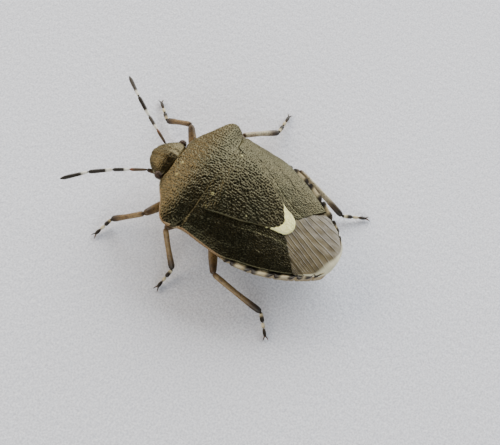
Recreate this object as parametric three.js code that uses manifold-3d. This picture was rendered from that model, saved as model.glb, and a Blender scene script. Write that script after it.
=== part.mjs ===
// A life-size shield bug, standing on six feet, in millimetres.
// It faces -Y and its left side is +X. The body is 10 mm long, and z = 0 is the ground.
import * as THREE from "three";
import { mergeVertices } from "three/addons/utils/BufferGeometryUtils.js";
import Module from "manifold-3d";

const wasm = await Module();
wasm.setup();
const { Manifold, Mesh } = wasm;

// Driving dimensions
const TAIL_Y = 5.0; // back of the folded wings; the front of the head is at about -5
const SEAM = 0.2; // space between two pieces that meet
const FINE_SEAM = 0.1; // the same round an eye, and between a wing and the rim beside it
const PLATE_EDGE = 0.3; // thickness of the back's plates at the body's rim
const PLATE_CROWN = 0.4; // how much thicker they are on the body's midline, but for the tail
const EDGE_DROP = 0.06; // how far a plate's border is rounded down
const SHIELD_STEP = 0.12; // how far the scutellum stands above the wings beside it
const MEMBRANE_STEP = 0.08; // how far the membrane lies below the corium
const VEIN_HEIGHT = 0.1;
const VEIN_SLANT = 0.35; // how far the veins lean over to the left side
const BELLY_INSET = 0.12; // how much narrower the body is under the plates
const EYE_RADIUS = 0.25;
const OCELLUS_RADIUS = 0.1;
const FEELER_RADIUS = 0.23;
const HIP_RADIUS = 0.3;
const FEMUR_RADIUS = 0.28;
const TIBIA_RADIUS = 0.23;
const FOOT_RADIUS = 0.2;
const CLAW_LENGTH = 0.3;
const CLAW_SPREAD = 0.6; // radians to each side of the foot
const LOOKS = {
  shell: { color: 0x3b3629, roughness: 0.4, metalness: 0.1 },
  membrane: { color: 0x70665a, roughness: 0.45, metalness: 0 },
  belly: { color: 0x8c7a54, roughness: 0.55, metalness: 0 },
  leg: { color: 0x786140, roughness: 0.5, metalness: 0 },
  foot: { color: 0x29211c, roughness: 0.5, metalness: 0 },
  feeler: { color: 0x17120f, roughness: 0.5, metalness: 0 },
  eye: { color: 0x2b170f, roughness: 0.15, metalness: 0 },
};

// The body in plan, [y, half width], with the strip of rim that the folded wings leave bare, [y, width]
const OUTLINE = [
  [-3.75, 0.95], [-3.5, 1.55], [-3.1, 2.18], [-2.7, 2.88], [-2.5, 3.07], [-2.28, 3.13], [-2.05, 3.07],
  [-1.7, 2.88], [-0.6, 2.92], [0.8, 2.98], [1.8, 2.82], [2.8, 2.42], [3.6, 1.95], [4.4, 1.32],
  [4.8, 0.86], [4.94, 0.52], [TAIL_Y, 0.2],
];
const BARE_STRIP = [[-1.6, 0], [0.5, 0.03], [1.3, 0.2], [2.2, 0.26], [3.4, 0.24], [4.1, 0.2], [4.5, 0.05], [4.8, 0]];
// Heights along the body, [y, z]: the back's rim, the back's midline and the belly's midline
const RIM = [[-3.75, 2.1], [-3.3, 2.38], [-2.3, 2.5], [-1.6, 2.4], [0.5, 2.16], [2.5, 1.95], [4, 1.82], [5.1, 1.72]];
const CROWN = [
  [-3.75, 2.42], [-3.3, 2.62], [-2.6, 2.98], [-1.9, 3.2], [-1.4, 3.28], [-0.5, 3.18], [0.5, 2.9],
  [1.5, 2.58], [2.5, 2.32], [3.4, 2.13], [4.3, 1.97], [5.1, 1.8],
];
const KEEL = [[-3.75, 1.15], [-3.2, 0.95], [-2.4, 0.85], [0, 0.78], [1.5, 0.76], [3, 0.82], [4.2, 0.96], [5.1, 1.16]];

// A smooth curve through a table of [input, output] rows.
function along(rows) {
  const last = rows.length - 1;
  const slope = (i) => {
    const [before, after] = [rows[Math.max(i - 1, 0)], rows[Math.min(i + 1, last)]];
    return (after[1] - before[1]) / (after[0] - before[0]);
  };
  return (x) => {
    if (x <= rows[0][0]) return rows[0][1];
    if (x >= rows[last][0]) return rows[last][1];
    const i = rows.findIndex((row) => row[0] > x) - 1;
    const [[x0, y0], [x1, y1]] = [rows[i], rows[i + 1]];
    const t = (x - x0) / (x1 - x0);
    const ease = t * t * (3 - 2 * t);
    const bend = t * (1 - t) * (x1 - x0) * (slope(i) * (1 - t) - slope(i + 1) * t);
    return y0 * (1 - ease) + y1 * ease + bend;
  };
}
const halfWidth = along(OUTLINE);
const bareStrip = along(BARE_STRIP);
const rimHeight = along(RIM);
const crownHeight = along(CROWN);
const keelHeight = along(KEEL);

// Surfaces of the body as heights over the plan
const shareOut = (x, y) => Math.min(1, Math.abs(x) / halfWidth(y));
const arch = (x, y, power) => (1 - shareOut(x, y) ** power) ** 0.8;
const wingReach = (y) => halfWidth(y) - bareStrip(y);
const backHeight = (x, y) => rimHeight(y) + (crownHeight(y) - rimHeight(y)) * arch(x, y, 2);
const crownDepth = along([[0.5, PLATE_CROWN], [4.2, 0]]);
const underPlate = (x, y) => backHeight(x, y) - PLATE_EDGE - crownDepth(y) * (1 - shareOut(x, y) ** 2);
const hiddenTop = (x, y) => underPlate(x, y) - SEAM;
function bellyHeight(x, y) {
  const edge = rimHeight(y) - PLATE_EDGE - SEAM - BELLY_INSET;
  return edge + (keelHeight(y) - edge) * arch(x, y, 2.4);
}

// Closed meshes as solids, and back
function solidOf(geometry) {
  const bare = geometry.clone();
  for (const name of ["normal", "uv"]) bare.deleteAttribute(name);
  const merged = mergeVertices(bare, 1e-5);
  const vertProperties = new Float32Array(merged.attributes.position.array);
  const triVerts = new Uint32Array(merged.index.array);
  const solid = new Manifold(new Mesh({ numProp: 3, vertProperties, triVerts }));
  if (solid.volume() > 0) return solid;
  for (let i = 0; i < triVerts.length; i += 3) triVerts.subarray(i, i + 3).reverse();
  return new Manifold(new Mesh({ numProp: 3, vertProperties, triVerts }));
}

function geometryFrom(solid) {
  const largest = solid.simplify(0.004).decompose().sort((a, b) => b.volume() - a.volume())[0];
  const { vertProperties, triVerts } = largest.getMesh();
  const geometry = new THREE.BufferGeometry();
  geometry.setAttribute("position", new THREE.BufferAttribute(new Float32Array(vertProperties), 3));
  geometry.setIndex(new THREE.BufferAttribute(new Uint32Array(triVerts), 1));
  geometry.computeVertexNormals();
  return geometry;
}

// A closed skin over rings that all have the same number of points, with a fan over each end.
function loft(rings) {
  const count = rings[0].length;
  const points = rings.flat();
  const faces = [];
  for (let start = 0; start < points.length - count; start += count) {
    for (let i = 0; i < count; i++) {
      const [a, b] = [start + i, start + ((i + 1) % count)];
      faces.push(a, b, b + count, a, b + count, a + count);
    }
  }
  for (const [start, turned] of [[0, true], [points.length - count, false]]) {
    const ring = points.slice(start, start + count);
    const hub = points.length;
    points.push(ring.reduce((sum, p) => sum.add(p), new THREE.Vector3()).divideScalar(count));
    for (let i = 0; i < count; i++) {
      const pair = [start + i, start + ((i + 1) % count)];
      faces.push(...(turned ? pair.reverse() : pair), hub);
    }
  }
  const geometry = new THREE.BufferGeometry().setFromPoints(points);
  geometry.setIndex(faces);
  return solidOf(geometry);
}

// A round limb along a smooth path. Each row of the shape is [share of the length, radius].
function limb(path, shape, sides = 8) {
  const curve = new THREE.CatmullRomCurve3(path.map((p) => new THREE.Vector3(...p)), false, "centripetal");
  const up = new THREE.Vector3(0, 0, 1);
  return loft(
    shape.map(([share, radius]) => {
      const ahead = curve.getTangentAt(share);
      const across = up.clone().cross(ahead).normalize();
      const high = ahead.cross(across);
      return Array.from({ length: sides }, (_, i) => {
        const angle = ((i + 0.5) / sides) * Math.PI * 2;
        const spoke = across.clone().multiplyScalar(Math.cos(angle)).addScaledVector(high, Math.sin(angle));
        return curve.getPointAt(share).addScaledVector(spoke, radius);
      });
    }),
  );
}

// A curved plate ruled between two edges in plan, with its borders rounded down.
const ACROSS = [0, 0.04, 0.2, 0.4, 0.6, 0.8, 0.96, 1];
function slab(edgeA, edgeB, topOf, shares = ACROSS) {
  return loft(
    edgeA.map((a, i) => {
      const row = shares.map((share) => a.clone().lerp(edgeB[i], share));
      const drop = (k) => (k === 0 || k === row.length - 1 ? EDGE_DROP : 0);
      const top = row.map((p, k) => new THREE.Vector3(p.x, p.y, topOf(p.x, p.y, i) - drop(k)));
      const under = row.map((p) => new THREE.Vector3(p.x, p.y, underPlate(p.x, p.y)));
      return [...top, ...under.reverse()];
    }),
  );
}

// Edges in plan: a smooth line with evenly spaced points, its mirror image, and both halves of one
const smooth = (points) => new THREE.SplineCurve(points.map((p) => new THREE.Vector2(...p)));
const edge = (points, count) => smooth(points).getSpacedPoints(count);
const mirrored = (points) => points.map((p) => new THREE.Vector2(-p.x, p.y));
const bothSides = (half) => [...mirrored(half).reverse(), ...half.slice(1)];
const spread = (from, to, count) => Array.from({ length: count + 1 }, (_, i) => from + ((to - from) * i) / count);

// Pronotum: the shield behind the head, hollow in front and widest at its rounded shoulders
const PRONOTUM_FRONT = [
  [0, -3.56], [0.7, -3.52], [1.2, -3.6], [1.62, -3.46], [2.18, -3.1], [2.88, -2.7], [3.07, -2.5], [3.13, -2.3],
];
const PRONOTUM_BACK = [[0, -1.42], [1.2, -1.45], [1.95, -1.56], [2.5, -1.68], [2.9, -1.82], [3.07, -2.05], [3.13, -2.22]];
const pronotum = slab(bothSides(edge(PRONOTUM_FRONT, 14)), bothSides(edge(PRONOTUM_BACK, 14)), backHeight);

// Scutellum: the long plate between the wings, blunt at its tip and set above them
const SCUTELLUM_SIDE = [
  [1.85, -1.3], [1.58, -0.4], [1.28, 0.5], [1.02, 1.0], [0.78, 1.5], [0.62, 1.88], [0.55, 2.18], [0.38, 2.46], [0.1, 2.6],
];
const scutellumSide = edge(SCUTELLUM_SIDE, 24);
const scutellum = slab(scutellumSide, mirrored(scutellumSide), (x, y) => backHeight(x, y) + SHIELD_STEP);

// Corium: the leathery front part of each folded wing, from the scutellum's side to the body's rim
const CORIUM_BACK = [[0.72, 2.42], [wingReach(3.32), 3.32]];
const coriumInner = edge([...SCUTELLUM_SIDE.slice(0, 7).map(([x, y]) => [x + SEAM, y - 0.04]), CORIUM_BACK[0]], 20);
const coriumOuter = edge(spread(-1.6, CORIUM_BACK[1][1], 16).map((y) => [wingReach(y), y]), 20);
const corium = (side) => {
  const [inner, outer] = side > 0 ? [coriumInner, coriumOuter] : [coriumInner, coriumOuter].map(mirrored);
  return slab(inner, outer, backHeight);
};

// Membrane: the thin end of the folded wings. The right one lies on top, so the veins lean to the left.
const COLUMNS = 33;
const VEIN_SPACING = 3;
const membraneFront = [[0, 2.82], [0.36, 2.74], [0.66, 2.62], [1.2, 3.05], [wingReach(3.55) - 0.02, 3.55]];
const membraneTail = [[0, TAIL_Y], ...[4.92, 4.8, 4.55, 4.3, 4.0, 3.7].map((y) => [wingReach(y), y])];
function fan(half, slant) {
  const whole = [...half.slice(1).reverse().map(([x, y]) => [-x, y]), ...half];
  const curve = smooth(whole);
  return spread(-1, 1, COLUMNS).map((u) => curve.getPointAt((u + slant * (1 - u * u) + 1) / 2));
}
function membraneTop(x, y, column) {
  const ridge = column % VEIN_SPACING === 1 ? VEIN_HEIGHT : 0;
  const fade = Math.min(1, Math.max(0, (TAIL_Y - 0.1 - y) / 0.5), 4 * (1 - shareOut(x, y)));
  return backHeight(x, y) - MEMBRANE_STEP + ridge * fade;
}
const membrane = slab(fan(membraneFront, 0), fan(membraneTail, VEIN_SLANT), membraneTop, [0, 0.06, 0.3, 0.55, 0.8, 1]);

// Underbody. Each cross section runs from the middle of its top, round one side, to the keel, and back.
const THORAX_BACK_Y = -0.35;
const ABDOMEN_BACK_Y = 4.7;
const SEGMENT_ENDS = [1.0, 1.98, 2.92, 3.78, 4.4];
const NOTCH = 0.06; // how deep the rim is notched where two segments meet
const NOTCH_WIDTH = 0.07;
function rimReach(y) {
  const notch = SEGMENT_ENDS.reduce((sum, end) => sum + Math.exp(-(((y - end) / NOTCH_WIDTH) ** 2)), 0);
  return halfWidth(y) + 0.03 - NOTCH * Math.min(1, notch);
}
// The rim is bare and level with the wing where the wing leaves room, and elsewhere lies under the plates.
function rimSection(y) {
  const wall = wingReach(y) + FINE_SEAM;
  const reach = rimReach(y);
  if (y > 0.8 && wall < reach - 0.06) {
    const top = backHeight(halfWidth(y), y) - 0.05;
    return [
      [wall, hiddenTop(wall, y)], [wall, top], [reach - 0.03, top - 0.02], [reach, top - 0.12],
      [reach - 0.02, top - 0.26], [reach - 0.14, top - 0.42],
    ];
  }
  const side = halfWidth(y) - BELLY_INSET;
  const top = hiddenTop(side, y);
  return [[0.16, 0], [0.12, 0], [0.05, 0], [0, 0.03], [0, 0.06], [0.03, 0.1]].map(([x, z]) => [side - x, top - z]);
}
function underSection(y) {
  const rim = rimSection(y);
  const top = [0, 0.35, 0.7, 0.92].map((share) => share * rim[0][0]).map((x) => [x, hiddenTop(x, y)]);
  const belly = [0.9, 0.75, 0.5, 0.25, 0].map((share) => share * halfWidth(y)).map((x) => [x, bellyHeight(x, y)]);
  const half = [...top, ...rim, ...belly];
  const other = half.slice(1, -1).reverse().map(([x, z]) => [-x, z]);
  return [...half, ...other].map(([x, z]) => new THREE.Vector3(x, y, z));
}
// The last ring of the abdomen is drawn in to round its end.
function drawnIn(ring, share, back) {
  const middle = ring.reduce((sum, p) => sum.add(p), new THREE.Vector3()).divideScalar(ring.length);
  return ring.map((p) => p.clone().lerp(middle, share).setY(p.y + back));
}
const notchStations = SEGMENT_ENDS.flatMap((end) => [-0.16, -0.08, -0.03, 0.03, 0.08, 0.16].map((step) => end + step));
const midStations = SEGMENT_ENDS.slice(1).map((end, i) => (SEGMENT_ENDS[i] + end) / 2);
const abdomenStations = [...spread(THORAX_BACK_Y + SEAM, 0.7, 5), ...notchStations, ...midStations, ABDOMEN_BACK_Y];
const abdomenRings = abdomenStations.sort((a, b) => a - b).map(underSection);
abdomenRings.push(drawnIn(abdomenRings.at(-1), 0.15, 0.06), drawnIn(abdomenRings.at(-1), 0.5, 0.12));
let abdomen = loft(abdomenRings);
let thorax = loft(spread(-3.55, THORAX_BACK_Y, 12).map(underSection));

// Head: a broad wedge that slopes down to the front. Each row is [y, z, half width, half height, lean].
const HEAD_SECTIONS = [
  [-3.76, 1.9, 0.86, 0.58, 0], [-3.88, 1.91, 0.92, 0.57, 0.07], [-4.09, 1.91, 0.87, 0.52, 0.14],
  [-4.3, 1.9, 0.79, 0.44, 0.2], [-4.47, 1.89, 0.69, 0.35, 0.27], [-4.62, 1.88, 0.55, 0.26, 0.34],
  [-4.71, 1.87, 0.4, 0.19, 0.39], [-4.77, 1.87, 0.19, 0.1, 0.44],
];
const MIDDLE_LOBE = 0.05; // height of the lobe that runs down the middle of the head
const HEAD_SIDES = 24;
const squarer = (value) => Math.sign(value) * Math.abs(value) ** 0.8;
let head = loft(
  HEAD_SECTIONS.map(([y, z, wide, high, lean]) =>
    Array.from({ length: HEAD_SIDES }, (_, i) => {
      const angle = (i / HEAD_SIDES) * Math.PI * 2;
      const x = squarer(Math.cos(angle)) * wide;
      const lobe = Math.sin(angle) > 0 && Math.abs(x) < 0.24 ? MIDDLE_LOBE : 0;
      const rise = squarer(Math.sin(angle)) * high + lobe;
      return new THREE.Vector3(x, y - rise * Math.sin(lean), z + rise * Math.cos(lean));
    }),
  ),
);
const EYE_AT = [1.08, -3.88, 2.13];
const OCELLUS_AT = [0.5, -3.93, 2.4];
function ball([x, y, z], radius, across = 14, up = 10) {
  return solidOf(new THREE.SphereGeometry(radius, across, up).translate(x, y, z));
}
const onSide = ([x, y, z], side) => [x * side, y, z];

// A straight run from one joint to the next that leaves a gap at each end.
function between(a, b, startGap = SEAM / 2, endGap = SEAM / 2) {
  const [from, to] = [new THREE.Vector3(...a), new THREE.Vector3(...b)];
  const length = from.distanceTo(to);
  return [startGap / length, 1 - endGap / length].map((share) => from.clone().lerp(to, share).toArray());
}
const sized = (shape, radius, extra = 0) => shape.map(([share, size]) => [share, size * radius + extra]);

// Feelers: five segments on each side, between the joints of one line
const FEELERS = {
  left: [
    [0.6, -4.25, 1.42], [0.82, -4.57, 1.66], [1.3, -5.2, 1.72], [1.75, -5.83, 1.7], [2.55, -6.59, 1.85],
    [3.6, -7.37, 1.93],
  ],
  right: [
    [-0.6, -4.25, 1.42], [-0.86, -4.66, 1.65], [-1.2, -5.34, 1.76], [-1.66, -6.09, 1.69], [-2.19, -7.04, 1.89],
    [-2.97, -8.09, 1.77],
  ],
};
const FEELER_SHAPE = [[0, 0.7], [0.06, 0.92], [0.3, 0.86], [0.75, 1], [0.94, 0.95], [1, 0.7]];
const FEELER_TIP_SHAPE = [[0, 0.7], [0.06, 0.92], [0.4, 1], [0.75, 0.9], [0.92, 0.55], [1, 0.2]];
const LAST_SEGMENT = 4;
function feelerSegment(joints, index, extra = 0) {
  const last = index === LAST_SEGMENT;
  const run = between(joints[index], joints[index + 1], SEAM / 2, last ? 0 : SEAM / 2);
  return limb(run, sized(last ? FEELER_TIP_SHAPE : FEELER_SHAPE, FEELER_RADIUS, extra));
}

// Beak: four segments, folded back from the head and lying between the legs
const BEAK_PATH = [[0, -4.6, 1.4], [0, -4.34, 1.0], [0, -3.7, 0.62], [0, -2.6, 0.42], [0, -1.3, 0.42]];
const BEAK_JOINTS = [0.25, 0.5, 0.75];
const BEAK_RADIUS = 0.24;
const beakSwell = (share) => Math.min(1, 0.65 + 6 * share, 0.25 + 5 * (1 - share));
const beakPinch = BEAK_JOINTS.flatMap((at) => [[at - 0.03, 1], [at, 0.82], [at + 0.03, 1]]);
const BEAK_SHAPE = [[0, 1], [0.06, 1], ...beakPinch, [0.9, 1], [1, 1]].map(([at, size]) => [at, size * beakSwell(at)]);
const beakOf = (extra) => limb(BEAK_PATH, sized(BEAK_SHAPE, BEAK_RADIUS, extra), 10);

// Legs, from the hip under the body to the knee, the heel and the tip of the foot
const LEGS = {
  front_left: { hip: [0.72, -2.85, 0.62], knee: [2.75, -3.46, 1.55], heel: [3.22, -4.83, 0.3], toe: [4.22, -5.06, 0.15] },
  front_right: { hip: [-0.72, -2.85, 0.62], knee: [-2.59, -4.33, 1.43], heel: [-2.79, -5.7, 0.3], toe: [-3.68, -6.6, 0.15] },
  middle_left: { hip: [0.95, -1.75, 0.58], knee: [2.92, -2.24, 1.74], heel: [3.8, -1.19, 0.3], toe: [4.84, -1.3, 0.15] },
  middle_right: { hip: [-0.95, -1.75, 0.58], knee: [-3.5, -1.88, 1.58], heel: [-5.42, -0.9, 0.3], toe: [-6.74, -0.98, 0.15] },
  hind_left: { hip: [1.05, -0.72, 0.56], knee: [3.5, 0.63, 1.5], heel: [3.34, 3.19, 0.3], toe: [4.18, 3.94, 0.15] },
  hind_right: { hip: [-1.05, -0.72, 0.56], knee: [-3.42, 1.25, 1.45], heel: [-3.1, 3.93, 0.3], toe: [-3.82, 4.98, 0.15] },
};
const HIP_TOP_Z = 0.95;
const KNEE_BEND = 0.1; // extra space that a bent knee needs
const HEEL_BEND = 0.08;
const HIP_SHAPE = [[0, 1], [0.75, 0.95], [1, 0.6]];
const FEMUR_SHAPE = [[0, 0.6], [0.05, 0.8], [0.3, 1], [0.65, 1], [0.92, 0.85], [1, 0.6]];
const TIBIA_SHAPE = [[0, 0.7], [0.05, 0.95], [0.5, 0.9], [0.9, 1.05], [1, 0.75]];
const FOOT_SHAPE = [
  [0, 0.7], [0.06, 0.95], [0.36, 1.05], [0.42, 0.75], [0.48, 0.95], [0.62, 1], [0.67, 0.72], [0.73, 0.9],
  [0.9, 1], [1, 0.6],
];
const CLAW_SHAPE = [[0, 0.11], [0.5, 0.09], [1, 0.03]];

function hipOf({ hip: [x, y, z] }, extra = 0) {
  return limb([[x * 0.92, y, HIP_TOP_Z], [x, y, z]], sized(HIP_SHAPE, HIP_RADIUS, extra), 10);
}
function femurOf({ hip: [x, y, z], knee }, extra = 0) {
  const run = between([x * 1.12, y, z + 0.02], knee, HIP_RADIUS);
  return limb(run, sized(FEMUR_SHAPE, FEMUR_RADIUS, extra), 10);
}
const tibiaOf = ({ knee, heel }) => limb(between(knee, heel, SEAM / 2 + KNEE_BEND), sized(TIBIA_SHAPE, TIBIA_RADIUS));
const ground = solidOf(new THREE.BoxGeometry(40, 40, 2).translate(0, 0, -1));
function footOf({ heel, toe }) {
  let foot = limb(between(heel, toe, SEAM / 2 + HEEL_BEND, 0), sized(FOOT_SHAPE, FOOT_RADIUS));
  const ahead = new THREE.Vector3(toe[0] - heel[0], toe[1] - heel[1], 0).normalize();
  const root = new THREE.Vector3(...toe).addScaledVector(ahead, -0.1);
  for (const turn of [CLAW_SPREAD, -CLAW_SPREAD]) {
    const out = ahead.clone().applyAxisAngle(new THREE.Vector3(0, 0, 1), turn);
    const bend = root.clone().addScaledVector(out, CLAW_LENGTH * 0.6);
    const tip = root.clone().addScaledVector(out, CLAW_LENGTH).setZ(0.06);
    foot = foot.add(limb([root, bend, tip].map((p) => p.toArray()), CLAW_SHAPE, 6));
  }
  return foot.subtract(ground);
}

// The body is cut clear of the legs, the beak, the eyes and the feelers' roots.
for (const leg of Object.values(LEGS)) {
  const room = hipOf(leg, SEAM).add(femurOf(leg, SEAM));
  thorax = thorax.subtract(room);
  abdomen = abdomen.subtract(room);
}
thorax = thorax.subtract(beakOf(SEAM));
head = head.subtract(beakOf(SEAM));
for (const side of [1, -1]) {
  head = head.add(ball(onSide(OCELLUS_AT, side), OCELLUS_RADIUS, 8, 6));
  head = head.subtract(ball(onSide(EYE_AT, side), EYE_RADIUS + FINE_SEAM));
}
for (const joints of Object.values(FEELERS)) head = head.subtract(feelerSegment(joints, 0, SEAM));

// Assembly
const bug = new THREE.Group();
function addPiece(name, solid, look) {
  const mesh = new THREE.Mesh(geometryFrom(solid), new THREE.MeshStandardMaterial(LOOKS[look]));
  mesh.name = name;
  bug.add(mesh);
}
addPiece("head", head, "shell");
addPiece("pronotum", pronotum, "shell");
addPiece("scutellum", scutellum, "shell");
addPiece("membrane", membrane, "membrane");
addPiece("thorax", thorax, "belly");
addPiece("abdomen", abdomen, "belly");
addPiece("beak", beakOf(0), "leg");
for (const [side, sign] of [["left", 1], ["right", -1]]) {
  addPiece(`corium_${side}`, corium(sign), "shell");
  addPiece(`eye_${side}`, ball(onSide(EYE_AT, sign), EYE_RADIUS), "eye");
  for (let i = 0; i <= LAST_SEGMENT; i++) {
    addPiece(`antenna_${side}_${i + 1}`, feelerSegment(FEELERS[side], i), i < 2 ? "leg" : "feeler");
  }
}
for (const [name, leg] of Object.entries(LEGS)) {
  addPiece(`leg_${name}_hip`, hipOf(leg), "leg");
  addPiece(`leg_${name}_femur`, femurOf(leg), "leg");
  addPiece(`leg_${name}_tibia`, tibiaOf(leg), "leg");
  addPiece(`leg_${name}_foot`, footOf(leg), "foot");
}

// The origin is on the ground, under the middle of the overall box.
const middle = new THREE.Box3().setFromObject(bug).getCenter(new THREE.Vector3());
bug.position.set(-middle.x, -middle.y, 0);
const part = new THREE.Group().add(bug);
export default part;
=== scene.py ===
"""A life-size shield bug on a pale sheet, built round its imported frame.

Shapes are described in millimetres in the bug's own frame: it faces -Y, its left side is +X, and
z = 0 is the ground. `placed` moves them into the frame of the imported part, in metres.
"""

import logging
import math
from dataclasses import dataclass, field
from enum import Enum
from typing import Callable, Sequence

import bpy
import numpy as np
from mathutils import Matrix, Vector


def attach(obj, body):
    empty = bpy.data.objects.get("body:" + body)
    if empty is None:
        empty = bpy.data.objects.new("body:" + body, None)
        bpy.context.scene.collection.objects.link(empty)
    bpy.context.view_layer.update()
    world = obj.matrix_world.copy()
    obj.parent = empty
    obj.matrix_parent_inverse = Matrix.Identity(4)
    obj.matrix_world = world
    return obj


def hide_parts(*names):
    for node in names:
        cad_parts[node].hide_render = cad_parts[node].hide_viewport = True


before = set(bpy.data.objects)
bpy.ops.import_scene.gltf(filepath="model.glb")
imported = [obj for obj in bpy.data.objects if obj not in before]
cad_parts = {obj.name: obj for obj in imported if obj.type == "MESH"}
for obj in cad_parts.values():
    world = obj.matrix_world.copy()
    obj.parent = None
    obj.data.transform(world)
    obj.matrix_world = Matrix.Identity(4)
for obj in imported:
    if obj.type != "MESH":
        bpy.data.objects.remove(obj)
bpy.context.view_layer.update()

log = logging.getLogger("shield_bug")
MM = 0.001
BODY_SHIFT = np.array([0.9469, 1.4506, 0.0])  # from the bug's own frame to the part's, in mm
Array = np.ndarray


def placed(points: Array) -> Array:
    """Moves points from the bug's own frame, in mm, to the part's frame, in metres.

    Args:
        points: rows of x, y, z in mm.

    Returns:
        The same rows in metres.
    """
    return (np.asarray(points, float) + BODY_SHIFT) * MM


def in_body_frame(points: Array) -> Array:
    """Moves points from the part's frame, in metres, back to the bug's own, in mm."""
    return np.asarray(points, float) / MM - BODY_SHIFT


def eased(values: Array, low: float, high: float) -> Array:
    """Rises smoothly from 0 at `low` to 1 at `high`."""
    share = np.clip((np.asarray(values, float) - low) / (high - low), 0, 1)
    return share * share * (3 - 2 * share)


class Table:
    """A smooth curve through rows of (input, output)."""

    def __init__(self, rows: Sequence[Sequence[float]]) -> None:
        """Keeps the rows and the slope at each.

        Args:
            rows: pairs of input and output, in rising order of input.
        """
        self.at, self.value = np.array(rows, float).T
        order = np.arange(len(self.at))
        before, after = np.maximum(order - 1, 0), np.minimum(order + 1, len(order) - 1)
        self.slope = (self.value[after] - self.value[before]) / (self.at[after] - self.at[before])

    def __call__(self, x: Array) -> Array:
        """Reads the curve at one input or an array of them."""
        x = np.clip(np.asarray(x, float), self.at[0], self.at[-1])
        i = np.clip(np.searchsorted(self.at, x, side="right") - 1, 0, len(self.at) - 2)
        span = self.at[i + 1] - self.at[i]
        t = (x - self.at[i]) / span
        ease = t * t * (3 - 2 * t)
        bend = t * (1 - t) * span * (self.slope[i] * (1 - t) - self.slope[i + 1] * t)
        return self.value[i] * (1 - ease) + self.value[i + 1] * ease + bend


def spline(points: Sequence[Sequence[float]], count: int, fine: int = 40) -> Array:
    """Draws a smooth line through points.

    Args:
        points: rows of coordinates, in any number of dimensions.
        count: how many evenly spaced points to give back.
        fine: steps taken between two points.

    Returns:
        `count` rows, evenly spaced along the line.
    """
    rows = np.array(points, float)
    order = np.arange(len(rows))
    slope = 0.5 * (rows[np.minimum(order + 1, len(rows) - 1)] - rows[np.maximum(order - 1, 0)])
    t = np.linspace(0, 1, fine, endpoint=False)[None, :, None]
    a, b, u, v = rows[:-1, None], rows[1:, None], slope[:-1, None], slope[1:, None]
    curve = (2 * t**3 - 3 * t**2 + 1) * a + (t**3 - 2 * t**2 + t) * u
    curve = curve + (3 * t**2 - 2 * t**3) * b + (t**3 - t**2) * v
    line = np.vstack([curve.reshape(-1, rows.shape[1]), rows[-1:]])
    return respaced(line, count)


def respaced(line: Array, count: int) -> Array:
    """Gives `count` evenly spaced points along a line of many."""
    run = np.concatenate([[0], np.cumsum(np.linalg.norm(np.diff(line, axis=0), axis=1))])
    stops = np.linspace(0, run[-1], count)
    return np.stack([np.interp(stops, run, column) for column in line.T], axis=1)


RIPPLE_WAVES = 12


def ripple(x: Array, y: Array, size: float, seed: int) -> Array:
    """A smooth random surface between -1 and 1, whose bumps are about `size` apart."""
    dice = np.random.default_rng(seed)
    total = np.zeros(np.broadcast(x, y).shape)
    for _ in range(RIPPLE_WAVES):
        angle, phase = dice.uniform(0, math.tau, 2)
        pitch = math.tau / (size * dice.uniform(0.7, 1.6))
        total += np.sin((x * math.cos(angle) + y * math.sin(angle)) * pitch + phase)
    return total / 5.0


PIT_TILE = 256  # pits before the jitter repeats


@dataclass(frozen=True)
class Pits:
    """A field of small round pits, jittered off a grid."""

    spacing: float
    radius: float
    seed: int
    stretch: float = 1.0

    def depth(self, x: Array, y: Array) -> Array:
        """How deep the pits are at each place.

        Args:
            x: place across, in mm.
            y: place along, in mm.

        Returns:
            0 between the pits, rising to 1 in the middle of each.
        """
        dice = np.random.default_rng(self.seed)
        size = PIT_TILE
        jitter = dice.uniform(-0.36, 0.36, (size, size, 2))
        girth = dice.uniform(0.72, 1.12, (size, size))
        u, v = x / (self.spacing * self.stretch), y / self.spacing
        cell_u, cell_v = np.floor(u).astype(int), np.floor(v).astype(int)
        deepest = np.zeros(u.shape)
        for du in (-1, 0, 1):
            for dv in (-1, 0, 1):
                i, j = (cell_u + du) % size, (cell_v + dv) % size
                off_u = (u - (cell_u + du + 0.5 + jitter[i, j, 0])) * self.spacing * self.stretch
                off_v = (v - (cell_v + dv + 0.5 + jitter[i, j, 1])) * self.spacing
                near = np.hypot(off_u / self.stretch, off_v) / (self.radius * girth[i, j])
                deepest = np.maximum(deepest, np.clip(1 - near * near, 0, 1) ** 1.5)
        return deepest


# The body's form


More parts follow.
